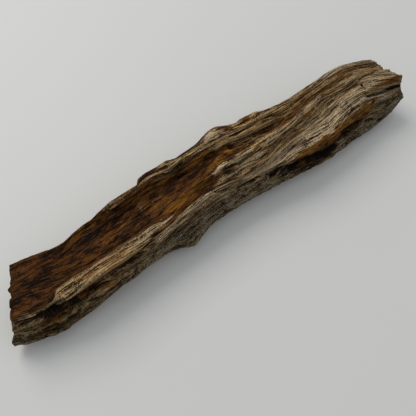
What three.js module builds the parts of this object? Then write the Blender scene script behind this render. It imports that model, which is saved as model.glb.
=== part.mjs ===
import * as THREE from "three";

// A length of petrified limb wood lying on its worn underside.
// Millimetres, +Z up, +X along the grain towards the rounder break, the pitted side at -Y.
// The surface is lofted through guide lines that follow its ridges and edges. It is then
// worked with strips, knots and cross checks, and split into layers along the grain.

const logLength = 310; // from break to break along the grain
const ringRadius = 24; // mean radius, spreads the grain pattern round the piece
const curveShare = 0.6; // 0 runs straight from guide to guide, 1 fully rounded
const rowCount = 52; // sections along the grain
const topPoints = 60; // points of a section over the top and the near side
const backPoints = 26; // points of a section over the far side and the underside
const capRings = 3; // rings on each broken end
const strandWander = 0.9; // how far a strip strays from its line
const layerDepth = 0.9; // depth of the split layers
const layerSteps = 2; // layers to each unit of the pattern
const swellDepth = 0.8; // slow swelling of the whole surface
const fibreDepth = 0.45; // bundles of fibres
const raggedEnd = 1.5; // how uneven the rim of a break is
const raggedReach = 9; // how far from a break its rim is uneven
const calmShare = 0.65; // share of the layers and fibres missing on the smooth face
const girthParts = 220; // steps in which the distance round a section is measured
const shareStep = 0.002; // steps along and round the surface for its slope
const guideStep = 0.04;

// Patterns of the grain: size across it in mm, how many times longer than wide, and seed.
const patterns = {
  stray: { size: 4, stretch: 6, seed: 11 },
  layers: { size: 5, stretch: 9, seed: 1 },
  fibres: { size: 3, stretch: 7, seed: 2 },
  swell: { size: 14, stretch: 3, seed: 3 },
  nearRim: { size: 5, stretch: 1, seed: 21 },
  farRim: { size: 5, stretch: 1, seed: 22 },
};

// Areas by guide number and mm along: each pair is where an edge starts and where it ends.
const smoothFace = { low: [0.3, 0.9], high: [1.9, 2.2], end: [140, 175] };
const sole = { low: [6.7, 7.1], high: [7.9, 8.3], start: [14, 34], end: [272, 292] };

// Each guide line: [x, y, z] from the near end to the far end, in order round the section.
const guides = [
  // far rim
  [[-137.5, 14, 29], [-110, 9.5, 29], [-96, 12.3, 29.5], [-82, 13.5, 30], [-69, 16.3, 31],
    [-56, 17.5, 31], [-41, 21.2, 30.5], [-26, 20.7, 30], [-13, 22.8, 30], [15, 24.5, 30.5],
    [43, 24.5, 31], [70, 21.5, 31.5], [98, 24.5, 32], [124, 26, 31.5], [142, 21.8, 30],
    [151, 18, 29]],
  // bottom of the long trough
  [[-143, 2, 27.5], [-111, 1, 26.5], [-81, 7, 25.5], [-51, 11.5, 24.5], [-23, 13.5, 24],
    [5, 15, 25], [31, 12, 26], [59, 11.5, 27], [86, 13, 28], [116, 17.5, 29],
    [130, 18, 29.5], [154.5, 12, 28.5]],
  // inner ridge
  [[-147, -7.5, 27], [-115, -9, 25.5], [-83, -7, 25], [-52, -3, 25], [-24, -0.5, 26],
    [3, 0.5, 29], [32, 0.5, 29.5], [61, 2.5, 30.5], [91, 9, 31.5], [119, 10, 32],
    [136, 8.5, 31.5], [155.5, 3, 29]],
  // crest
  [[-150, -18.5, 26.5], [-137, -22, 27], [-114, -20.5, 29], [-85, -18, 28.5], [-58, -17, 27.5],
    [-27, -12, 27.5], [-13, -10.5, 27.5], [17, -12.5, 28], [48, -8, 29], [79, -3.5, 30],
    [94, 0, 30.5], [124, 2.5, 31.5], [140, -1.5, 31], [156, -7, 28.5]],
  // near edge
  [[-155, -22.3, 13], [-138, -26, 14], [-107, -27, 16], [-77, -25.5, 19], [-61, -24, 22],
    [-45, -21.5, 24], [-14, -17, 26], [16, -18, 26.5], [45, -20, 27], [77, -19, 27],
    [108, -14.5, 27.5], [122, -12.5, 27.5], [139, -14, 26], [152, -14.5, 24]],
  // widest line of the near side
  [[-157, -21.3, 8], [-149, -24.8, 8], [-132, -29.3, 8.5], [-109, -28.4, 9], [-78, -24, 9],
    [-62, -22.5, 9], [-32, -22.7, 9], [-1, -20.6, 10], [30, -20.8, 10], [61, -23.3, 10],
    [77, -24.5, 10], [92, -23.5, 10], [107, -21.5, 10], [137, -20, 11], [158, -15.5, 14]],
  // near foot
  [[-153, -17.5, 3], [-127, -23.5, 2.5], [-99, -21.5, 2], [-41, -17, 2], [28, -14.5, 2],
    [99, -16.5, 2], [143, -15, 3], [154, -12, 5]],
  // near edge of the flat underside
  [[-148, -10, 1.5], [-127, -13, 0], [-99, -12, 0], [-60, -9, 0], [0, -6, 0],
    [60, -7, 0], [110, -8, 0], [150, -5, 3]],
  // far edge of the flat underside
  [[-142, 5, 1.5], [-110, 2, 0], [-70, 8, 0], [-30, 12, 0], [10, 12, 0],
    [60, 11, 0], [110, 12, 0], [148, 8, 3]],
  // far foot
  [[-138, 12, 6], [-110, 11, 5], [-78, 17, 5], [-45, 22, 5], [-10, 24, 5],
    [25, 24, 5], [70, 22, 5], [110, 25, 6], [146, 16, 9]],
  // far side
  [[-136, 15, 18], [-110, 13, 17], [-78, 19, 17], [-45, 25, 17], [-10, 27, 17],
    [25, 28, 17], [70, 26, 17], [110, 28, 18], [147, 20, 20]],
];

// Strips run with the grain. half: half width, rise: height, flat: share of the width that is
// level, ends: length of the fade at each end, line: [mm along, guide number] of its middle.
const strips = [
  { name: "paleTongue", half: 5, rise: 2.6, flat: 0.7, ends: [4, 12],
    line: [[26, 2.85], [44, 2.95], [64, 2.9], [76, 2.9], [90, 2.6]] },
  { name: "tongueHollow", half: 2.6, rise: -4.6, flat: 0.5, ends: [7, 8],
    line: [[18, 3.1], [28, 3.4], [36, 3.5], [52, 3.58], [76, 3.4]] },
  { name: "nearEndGroove", half: 1.5, rise: -2, flat: 0.3, ends: [4, 8],
    line: [[4, 3.2], [15, 3.3], [22, 3.6], [42, 3.8]] },
  { name: "lowerLedge", half: 3, rise: 1.8, flat: 0.6, ends: [6, 8],
    line: [[28, 4], [50, 3.94], [64, 3.98], [78, 4.16]] },
  { name: "roughLump", half: 5, rise: 1.6, flat: 0.4, ends: [5, 5],
    line: [[6, 4.15], [18, 4.1], [28, 4.3]] },
  { name: "rimStrip", half: 3.2, rise: 1.2, flat: 0.6, ends: [8, 6],
    line: [[64, 0.12], [93, 0.3], [134, 0.42], [150, 0.5]] },
  { name: "troughLine", half: 1.5, rise: -1.6, flat: 0.3, ends: [8, 6],
    line: [[101, 0.75], [111, 0.8], [128, 1], [144, 1.1], [155, 0.95]] },
  { name: "orangeRidge", half: 2.4, rise: 1.3, flat: 0.2, ends: [10, 5],
    line: [[114, 2.1], [134, 1.9], [144, 1.72], [154, 1.45], [164, 1.2]] },
  { name: "longPocket", half: 3, rise: -3.4, flat: 0.5, ends: [2.5, 18],
    line: [[168, 0.98], [189, 1.04], [200, 1.05]] },
  { name: "pocketLip", half: 1.4, rise: 1, flat: 0.4, ends: [6, 8],
    line: [[166, 0.7], [190, 0.74], [212, 0.84]] },
  { name: "rimCrack", half: 1.2, rise: -2.2, flat: 0.2, ends: [8, 3],
    line: [[178, 0.55], [197, 0.46], [209, 0.55]] },
  { name: "rustHollow", half: 2.8, rise: -2.6, flat: 0.5, ends: [6, 3],
    line: [[132, 2.3], [140, 2.3], [147, 2.25]] },
  { name: "creamLedge", half: 2.2, rise: 1.6, flat: 0.6, ends: [3, 6],
    line: [[150, 1.95], [164, 1.98], [176, 1.94], [186, 2.1]] },
  { name: "creamSecond", half: 1.8, rise: 1.3, flat: 0.6, ends: [3, 10],
    line: [[192, 2], [210, 2.02], [228, 2.04], [250, 2]] },
  { name: "splitBelow", half: 0.9, rise: -1.2, flat: 0.2, ends: [4, 5],
    line: [[158, 2.18], [178, 2.2]] },
  { name: "thirdLedge", half: 1.4, rise: 1.1, flat: 0.5, ends: [3, 6],
    line: [[156, 2.34], [165, 2.38], [184, 2.38]] },
  { name: "greyTrough", half: 2.8, rise: -1.5, flat: 0.3, ends: [14, 8],
    line: [[149, 2.7], [179, 2.72], [211, 2.78], [244, 2.72], [274, 2.62]] },
  { name: "crestEdge", half: 1.8, rise: 1, flat: 0.2, ends: [14, 3],
    line: [[160, 3.2], [186, 3.08], [212, 3.16], [241, 3.1], [278, 2.95]] },
  { name: "slantCheck", half: 0.9, rise: -1.2, flat: 0.1, ends: [2, 2],
    line: [[139, 2.96], [148, 3.56]] },
  { name: "edgeHole", half: 2.2, rise: -3, flat: 0.4, ends: [4, 4],
    line: [[160, 4.05], [172, 4.02]] },
  { name: "sideHollow", half: 3.6, rise: -4.6, flat: 0.5, ends: [9, 7],
    line: [[186, 4.25], [200, 4.38], [212, 4.42], [226, 4.6], [254, 4.5]] },
  { name: "sideHollowEnd", half: 2.4, rise: -3, flat: 0.4, ends: [5, 6],
    line: [[250, 4.3], [262, 4.4], [276, 4.7]] },
  { name: "rustLip", half: 1.7, rise: 1.4, flat: 0.5, ends: [8, 5],
    line: [[206, 4.02], [226, 4], [250, 4.02], [274, 4], [284, 3.86]] },
  { name: "endBlock", half: 7.5, rise: 1.8, flat: 0.85, ends: [1.5, 0],
    line: [[281, 2.95], [312, 2.8]] },
  { name: "blockCrack", half: 1.1, rise: -2.4, flat: 0.2, ends: [3, 0],
    line: [[276, 2.66], [284, 2.36], [292, 2.24], [300, 1.8], [312, 1.6]] },
  { name: "blockFoot", half: 1.5, rise: -2.4, flat: 0.3, ends: [3, 0],
    line: [[281, 3.6], [298, 3.66], [312, 3.56]] },
  { name: "farBench", half: 4, rise: 3.1, flat: 0.6, ends: [5, 10],
    line: [[100, 10.6], [110, 10.62], [119, 10.68]] },
  { name: "farRimLump", half: 3, rise: 1.2, flat: 0.4, ends: [4, 8],
    line: [[186, 10.95], [198, 10.95]] },
  { name: "farGrooveLow", half: 2.4, rise: -2.2, flat: 0.3, ends: [20, 30],
    line: [[30, 9.7], [120, 9.9], [200, 9.6]] },
  { name: "farGrooveHigh", half: 2.2, rise: -2.4, flat: 0.3, ends: [20, 14],
    line: [[150, 10.3], [230, 10.2], [290, 10.35]] },
  { name: "farTerrace", half: 4.5, rise: 1.8, flat: 0.7, ends: [16, 4],
    line: [[180, 9.8], [240, 9.7], [300, 9.8]] },
  { name: "farScar", half: 3.2, rise: -2.4, flat: 0.5, ends: [8, 14],
    line: [[44, 10.4], [70, 10.3]] },
  { name: "footHollow", half: 3, rise: -1.8, flat: 0.4, ends: [16, 20],
    line: [[96, 6.2], [150, 6.3], [196, 6.15]] },
];

// Hollows worn into the flat underside, clear of its middle.
const soleHollows = [
  { name: "soleSplit", half: 1.6, rise: -1.6, flat: 0.3, ends: [12, 12],
    line: [[24, 7.5], [70, 7.35], [112, 7.55]] },
  { name: "soleSeam", half: 1.8, rise: -1.8, flat: 0.3, ends: [16, 8],
    line: [[196, 7.5], [240, 7.6], [290, 7.45]] },
];

// Knots and swellings: along in mm, guide number, reach along the grain, half width, rise.
const knots = [
  { name: "farKnot", along: 162.5, guide: 10.85, reach: 13, half: 6.5, rise: 5.4 },
  { name: "nearKnob", along: 118, guide: 4.95, reach: 9.5, half: 5.5, rise: 4.6 },
  { name: "backKnot", along: 232, guide: 9.3, reach: 12, half: 8, rise: 3 },
  { name: "bandSwell", along: 214, guide: 3.5, reach: 24, half: 6, rise: 1 },
];

// Checks that cross the grain: where, between which guides, half width, depth, lean in mm.
const crossChecks = [
  { name: "blockCheck", along: 280, from: 2.65, to: 3.55, half: 1.5, rise: -2.4, lean: 3 },
  { name: "farCheck", along: 96, from: 9.2, to: 10.5, half: 1, rise: -1.4, lean: -4 },
  { name: "nearCheck", along: 147, from: 4.1, to: 4.8, half: 0.9, rise: -1.2, lean: 5 },
];

// The two breaks: how far each bulges, how rough it is, and the lumps' width, height and seed.
const breaks = {
  near: { bulge: 0.8, relief: 1.4, lumps: [11, 8], seed: 31 },
  far: { bulge: 3.5, relief: 2, lumps: [11, 8], seed: 32 },
};

const guideCount = guides.length;

function clamp01(value) {
  return Math.min(1, Math.max(0, value));
}

function smooth(from, to, value) {
  const t = clamp01((value - from) / (to - from));
  return t * t * (3 - 2 * t);
}

function wrapAround(value, period) {
  return ((value % period) + period) % period;
}

// Evenly mixed value between -1 and 1 for a whole-number place.
function scatter(i, j, k, seed) {
  let h = Math.imul(i, 374761393) + Math.imul(j, 668265263);
  h = (h + Math.imul(k, 1274126177) + Math.imul(seed, 974634777)) | 0;
  h = Math.imul(h ^ (h >>> 13), 1103515245);
  h = Math.imul(h ^ (h >>> 15), 374761393);
  return (((h ^ (h >>> 16)) & 0xffffff) / 0xffffff) * 2 - 1;
}

function cloud(x, y, z, seed) {
  const [i, j, k] = [Math.floor(x), Math.floor(y), Math.floor(z)];
  const [u, v, w] = [smooth(0, 1, x - i), smooth(0, 1, y - j), smooth(0, 1, z - k)];
  let total = 0;
  for (const dx of [0, 1]) {
    for (const dy of [0, 1]) {
      for (const dz of [0, 1]) {
        const share = (dx ? u : 1 - u) * (dy ? v : 1 - v) * (dz ? w : 1 - w);
        total += share * scatter(i + dx, j + dy, k + dz, seed);
      }
    }
  }
  return total;
}

// Pattern drawn out along the grain.
function grain(along, guide, { size, stretch, seed }) {
  const angle = (2 * Math.PI * guide) / guideCount;
  const sideways = ringRadius * Math.cos(angle);
  const upwards = ringRadius * Math.sin(angle);
  return cloud(along / (size * stretch), sideways / size, upwards / size, seed);
}

// 1 between two soft edges, 0 outside them.
function between(low, high, value) {
  return smooth(...low, value) * (1 - smooth(...high, value));
}

// Point of a guide line at x, with a smooth run through its points.
function onGuide(points, x) {
  const last = points.length - 1;
  let i = 0;
  while (i < last - 1 && x >= points[i + 1][0]) i += 1;
  const span = points[i + 1][0] - points[i][0];
  const t = (x - points[i][0]) / span;
  const slope = (n, axis) => {
    const before = points[Math.max(0, n - 1)];
    const after = points[Math.min(last, n + 1)];
    return (after[axis] - before[axis]) / (after[0] - before[0]);
  };
  const value = (axis) => {
    const start = points[i][axis] * (1 + 2 * t) * (1 - t) ** 2;
    const end = points[i + 1][axis] * t * t * (3 - 2 * t);
    const lead = slope(i, axis) * span * t * (1 - t) ** 2;
    const trail = slope(i + 1, axis) * span * t * t * (1 - t);
    return start + end + lead - trail;
  };
  return [x, value(1), value(2)];
}

// The guide points of the section at a share of the length.
function sectionAt(share) {
  return guides.map((points) => {
    const start = points[0][0];
    const end = points[points.length - 1][0];
    return onGuide(points, start + (end - start) * share);
  });
}

// Point of the plain loft, between the guides of one section.
function roundSection(section, guide) {
  const i = Math.floor(guide);
  const f = guide - i;
  const at = (n) => section[wrapAround(i + n, guideCount)];
  const [a, b, c, d] = [at(-1), at(0), at(1), at(2)];
  const point = [0, 1, 2].map((axis) => {
    const first = (c[axis] - a[axis]) * f;
    const second = (2 * a[axis] - 5 * b[axis] + 4 * c[axis] - d[axis]) * f * f;
    const third = (3 * b[axis] - 3 * c[axis] + d[axis] - a[axis]) * f * f * f;
    const curved = 0.5 * (2 * b[axis] + first + second + third);
    const straight = b[axis] + (c[axis] - b[axis]) * f;
    return straight + (curved - straight) * curveShare;
  });
  point[2] = Math.max(0, point[2]);
  return point;
}

// Distance round a section, as a table by guide number.
function girthTable(section) {
  const lengths = [0];
  let before = roundSection(section, 0);
  for (let n = 1; n <= girthParts; n += 1) {
    const next = roundSection(section, (n * guideCount) / girthParts);
    lengths.push(lengths[n - 1] + Math.hypot(next[0] - before[0], next[1] - before[1], next[2] - before[2]));
    before = next;
  }
  const total = lengths[girthParts];
  const at = (guide) => {
    const place = (wrapAround(guide, guideCount) * girthParts) / guideCount;
    const n = Math.min(girthParts - 1, Math.floor(place));
    return lengths[n] + (lengths[n + 1] - lengths[n]) * (place - n);
  };
  return { total, at };
}

// Millimetres round the section from one guide number to another, by the shorter way.
function across(girth, from, to) {
  return wrapAround(girth.at(to) - girth.at(from) + girth.total / 2, girth.total) - girth.total / 2;
}

function lineAt(line, along) {
  const last = line.length - 1;
  if (along <= line[0][0]) return line[0][1];
  if (along >= line[last][0]) return line[last][1];
  const n = line.findIndex((point) => point[0] > along);
  const t = (along - line[n - 1][0]) / (line[n][0] - line[n - 1][0]);
  return line[n - 1][1] + (line[n][1] - line[n - 1][1]) * t;
}

function stripHeight(strip, girth, along, guide, stray) {
  const distance = Math.abs(across(girth, lineAt(strip.line, along), guide) + stray);
  const start = strip.line[0][0];
  const end = strip.line[strip.line.length - 1][0];
  const [fadeIn, fadeOut] = strip.ends;
  const ragged = along + stray * 2;
  const opening = fadeIn ? smooth(start - fadeIn, start, ragged) : 1;
  const closing = fadeOut ? 1 - smooth(end, end + fadeOut, ragged) : 1;
  const level = 1 - smooth(strip.flat, 1, distance / (strip.half * 1.15));
  return strip.rise * level * opening * closing;
}

function knotHeight(knot, girth, along, guide) {
  const lengthwise = (along - knot.along) / knot.reach;
  const sideways = across(girth, knot.guide, guide) / knot.half;
  return knot.rise * Math.exp(-1.2 * (lengthwise ** 2 + sideways ** 2));
}

function checkDepth(check, along, guide, stray) {
  const turn = wrapAround(guide - check.from, guideCount) / (check.to - check.from);
  if (turn > 1) return 0;
  const centre = check.along + check.lean * (turn - 0.5) + stray;
  const taper = smooth(0, 0.12, turn) * (1 - smooth(0.88, 1, turn));
  return check.rise * taper * (1 - smooth(0.2, 1, Math.abs(along - centre) / check.half));
}

// Split layers: the pattern cut into steps, each with a short slope between.
function layered(value) {
  const scaled = (value + 1) * layerSteps;
  const whole = Math.floor(scaled);
  return (whole + 0.5 * smooth(0.55, 1, scaled - whole)) / layerSteps - 1;
}

// Height of the worked surface over the plain loft.
function workedHeight(girth, along, guide) {
  const stray = strandWander * grain(along, guide, patterns.stray);
  let height = 0;
  for (const strip of strips) height += stripHeight(strip, girth, along, guide, stray);
  for (const knot of knots) height += knotHeight(knot, girth, along, guide);
  for (const check of crossChecks) height += checkDepth(check, along, guide, stray);
  const onFace = between(smoothFace.low, smoothFace.high, guide) * (1 - smooth(...smoothFace.end, along));
  const layers = layerDepth * layered(grain(along, guide, patterns.layers));
  const fibres = fibreDepth * grain(along, guide, patterns.fibres);
  height += (1 - calmShare * onFace) * (layers + fibres);
  height += swellDepth * grain(along, guide, patterns.swell);
  height *= 1 - between(sole.low, sole.high, guide) * between(sole.start, sole.end, along);
  for (const hollow of soleHollows) height += stripHeight(hollow, girth, along, guide, stray);
  return height;
}

// Guide numbers of the points round a section, closer together over the top and near side.
function roundSteps() {
  const topStart = -0.7;
  const topSpan = 6;
  const steps = [];
  for (let n = 0; n < topPoints; n += 1) steps.push(topStart + (topSpan * n) / topPoints);
  for (let n = 0; n < backPoints; n += 1) {
    steps.push(topStart + topSpan + ((guideCount - topSpan) * n) / backPoints);
  }
  return steps.map((step) => wrapAround(step, guideCount));
}

// One worked section: the loft's points moved out along its normals.
function workedRow(share, steps) {
  const section = sectionAt(share);
  const behind = sectionAt(share - shareStep);
  const ahead = sectionAt(share + shareStep);
  const girth = girthTable(section);
  const along = share * logLength;
  const nearRim = raggedEnd * (1 - smooth(0, raggedReach, along));
  const farRim = raggedEnd * smooth(logLength - raggedReach, logLength, along);
  return steps.map((guide) => {
    const point = new THREE.Vector3(...roundSection(section, guide));
    const lengthwise = new THREE.Vector3(...roundSection(ahead, guide));
    lengthwise.sub(new THREE.Vector3(...roundSection(behind, guide)));
    const sideways = new THREE.Vector3(...roundSection(section, guide + guideStep));
    sideways.sub(new THREE.Vector3(...roundSection(section, guide - guideStep)));
    const normal = sideways.cross(lengthwise).normalize();
    point.addScaledVector(normal, workedHeight(girth, along, guide));
    point.x += nearRim * grain(0, guide, patterns.nearRim);
    point.x += farRim * grain(0, guide, patterns.farRim);
    point.z = Math.max(0, point.z);
    return point;
  });
}

// Slope of a break: the plane x = x0 + tiltY * (y - y0) + tiltZ * (z - z0) nearest to its rim.
function breakPlane(rim, middle) {
  let [yy, zz, yz, xy, xz] = [0, 0, 0, 0, 0];
  for (const point of rim) {
    const [x, y, z] = [point.x - middle.x, point.y - middle.y, point.z - middle.z];
    yy += y * y;
    zz += z * z;
    yz += y * z;
    xy += x * y;
    xz += x * z;
  }
  const scale = yy * zz - yz * yz;
  const tiltY = (xy * zz - xz * yz) / scale;
  const tiltZ = (xz * yy - xy * yz) / scale;
  return (y, z) => middle.x + tiltY * (y - middle.y) + tiltZ * (z - middle.z);
}

// The rim with its notches evened out.
function evenedRim(rim) {
  const reach = 5;
  return rim.map((point, index) => {
    const sum = new THREE.Vector3();
    for (let n = -reach; n <= reach; n += 1) sum.add(rim[wrapAround(index + n, rim.length)]);
    return sum.divideScalar(2 * reach + 1);
  });
}

// Rings of a broken end, from its rim towards its middle, and the middle point.
function breakRings(rim, outward, { bulge, relief, lumps, seed }) {
  const middle = new THREE.Vector3();
  for (const point of rim) middle.addScaledVector(point, 1 / rim.length);
  const plane = breakPlane(rim, middle);
  const evened = evenedRim(rim);
  const rings = [];
  for (let n = 1; n <= capRings + 1; n += 1) {
    const inward = n / (capRings + 1);
    rings.push(rim.map((point, index) => {
      const level = smooth(0, 0.5, inward);
      const place = point.clone().lerp(evened[index], level).lerp(middle, inward);
      const rough = relief * cloud(place.y / lumps[0], place.z / lumps[1], seed, seed);
      place.x += (plane(place.y, place.z) - place.x) * level;
      place.x += outward * (bulge * (1 - (1 - inward) ** 2) + rough * smooth(0, 0.3, inward));
      return place;
    }));
  }
  return { rings: rings.slice(0, capRings), middle: rings[capRings][0] };
}

function buildStone() {
  const steps = roundSteps();
  const rows = [];
  for (let n = 0; n < rowCount; n += 1) rows.push(workedRow(n / (rowCount - 1), steps));
  const nearEnd = breakRings(rows[0], -1, breaks.near);
  const farEnd = breakRings(rows[rowCount - 1], 1, breaks.far);
  const loops = [...nearEnd.rings.reverse(), ...rows, ...farEnd.rings];
  const width = steps.length;
  const positions = [];
  for (const loop of loops) for (const point of loop) positions.push(point.x, point.y, point.z);
  const nearMiddle = positions.length / 3;
  positions.push(nearEnd.middle.x, nearEnd.middle.y, nearEnd.middle.z);
  positions.push(farEnd.middle.x, farEnd.middle.y, farEnd.middle.z);
  const faces = [];
  for (let i = 0; i < loops.length - 1; i += 1) {
    for (let j = 0; j < width; j += 1) {
      const a = i * width + j;
      const d = i * width + ((j + 1) % width);
      faces.push(a, d, a + width, a + width, d, d + width);
    }
  }
  const lastLoop = (loops.length - 1) * width;
  for (let j = 0; j < width; j += 1) {
    const next = (j + 1) % width;
    faces.push(nearMiddle, next, j);
    faces.push(nearMiddle + 1, lastLoop + j, lastLoop + next);
  }
  const geometry = new THREE.BufferGeometry();
  geometry.setAttribute("position", new THREE.Float32BufferAttribute(positions, 3));
  geometry.setIndex(faces);
  geometry.computeVertexNormals();
  return geometry;
}

const stoneMaterial = new THREE.MeshStandardMaterial({ color: 0x6a4a30, roughness: 0.72, metalness: 0 });
const stone = new THREE.Mesh(buildStone(), stoneMaterial);
stone.name = "petrified_wood";

const part = new THREE.Group();
part.name = "petrified_wood_piece";
part.add(stone);

export default part;
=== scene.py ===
import math

import bpy
import numpy as np
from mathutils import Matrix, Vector


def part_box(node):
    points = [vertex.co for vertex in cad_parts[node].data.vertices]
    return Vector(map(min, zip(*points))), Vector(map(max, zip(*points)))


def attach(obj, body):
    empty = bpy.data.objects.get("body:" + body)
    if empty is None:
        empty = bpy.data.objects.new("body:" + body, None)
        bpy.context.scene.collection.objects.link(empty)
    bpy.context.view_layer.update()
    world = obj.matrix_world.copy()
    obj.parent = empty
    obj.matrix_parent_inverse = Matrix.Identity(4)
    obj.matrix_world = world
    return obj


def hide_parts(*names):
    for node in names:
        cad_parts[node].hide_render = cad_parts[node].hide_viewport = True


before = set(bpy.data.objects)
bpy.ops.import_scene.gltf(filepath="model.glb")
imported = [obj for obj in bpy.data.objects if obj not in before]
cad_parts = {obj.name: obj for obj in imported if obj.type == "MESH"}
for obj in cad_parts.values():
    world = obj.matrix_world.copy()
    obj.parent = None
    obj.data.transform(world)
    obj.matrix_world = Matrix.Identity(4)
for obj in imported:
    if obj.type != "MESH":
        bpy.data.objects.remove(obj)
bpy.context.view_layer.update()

print("frame loaded")

# A length of petrified limb wood. All shape values are mm in the CAD frame.
# It is lofted through guide lines that follow the ridges and edges, then worked
# with strips, knots, checks and the layered split of the grain.

guideLines = {  # x, y, z in mm, in order round the section
    "farRim": [
        (-137.5, 14, 29), (-110, 9.5, 29), (-96, 12.3, 29.5), (-82, 13.5, 30), (-69, 16.3, 31),
        (-56, 17.5, 31), (-41, 21.2, 30.5), (-26, 20.7, 30), (-13, 22.8, 30), (15, 24.5, 30.5),
        (43, 24.5, 31), (70, 21.5, 31.5), (98, 24.5, 32), (124, 26, 31.5), (142, 21.8, 30), (151, 18, 29)
    ],
    "troughFloor": [
        (-143, 2, 27.5), (-111, 1, 26.5), (-81, 7, 25.5), (-51, 11.5, 24.5), (-23, 13.5, 24), (5, 15, 25),
        (31, 12, 26), (59, 11.5, 27), (86, 13, 28), (116, 17.5, 29), (130, 18, 29.5), (154.5, 12, 28.5)
    ],
    "innerRidge": [
        (-147, -7.5, 27), (-115, -9, 25.5), (-83, -7, 25), (-52, -3, 25), (-24, -0.5, 26), (3, 0.5, 29),
        (32, 0.5, 29.5), (61, 2.5, 30.5), (91, 9, 31.5), (119, 10, 32), (136, 8.5, 31.5), (155.5, 3, 29)
    ],
    "crest": [
        (-150, -18.5, 26.5), (-137, -22, 27), (-114, -20.5, 29), (-85, -18, 28.5), (-58, -17, 27.5),
        (-27, -12, 27.5), (-13, -10.5, 27.5), (17, -12.5, 28), (48, -8, 29), (79, -3.5, 30), (94, 0, 30.5),
        (124, 2.5, 31.5), (140, -1.5, 31), (156, -7, 28.5)
    ],
    "nearEdge": [
        (-155, -22.3, 13), (-138, -26, 14), (-107, -27, 16), (-77, -25.5, 19), (-61, -24, 22),
        (-45, -21.5, 24), (-14, -17, 26), (16, -18, 26.5), (45, -20, 27), (77, -19, 27),
        (108, -14.5, 27.5), (122, -12.5, 27.5), (139, -14, 26), (152, -14.5, 24)
    ],
    "nearBulge": [
        (-157, -21.3, 8), (-149, -24.8, 8), (-132, -29.3, 8.5), (-109, -28.4, 9), (-78, -24, 9),
        (-62, -22.5, 9), (-32, -22.7, 9), (-1, -20.6, 10), (30, -20.8, 10), (61, -23.3, 10),
        (77, -24.5, 10), (92, -23.5, 10), (107, -21.5, 10), (137, -20, 11), (158, -15.5, 14)
    ],
    "nearFoot": [
        (-153, -17.5, 3), (-127, -23.5, 2.5), (-99, -21.5, 2), (-41, -17, 2), (28, -14.5, 2),
        (99, -16.5, 2), (143, -15, 3), (154, -12, 5)
    ],
    "soleNearEdge": [
        (-148, -10, 1.5), (-127, -13, 0), (-99, -12, 0), (-60, -9, 0), (0, -6, 0), (60, -7, 0),
        (110, -8, 0), (150, -5, 3)
    ],
    "soleFarEdge": [
        (-142, 5, 1.5), (-110, 2, 0), (-70, 8, 0), (-30, 12, 0), (10, 12, 0), (60, 11, 0), (110, 12, 0),
        (148, 8, 3)
    ],
    "farFoot": [
        (-138, 12, 6), (-110, 11, 5), (-78, 17, 5), (-45, 22, 5), (-10, 24, 5), (25, 24, 5), (70, 22, 5),
        (110, 25, 6), (146, 16, 9)
    ],
    "farSide": [
        (-136, 15, 18), (-110, 13, 17), (-78, 19, 17), (-45, 25, 17), (-10, 27, 17), (25, 28, 17),
        (70, 26, 17), (110, 28, 18), (147, 20, 20)
    ],
}

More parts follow.
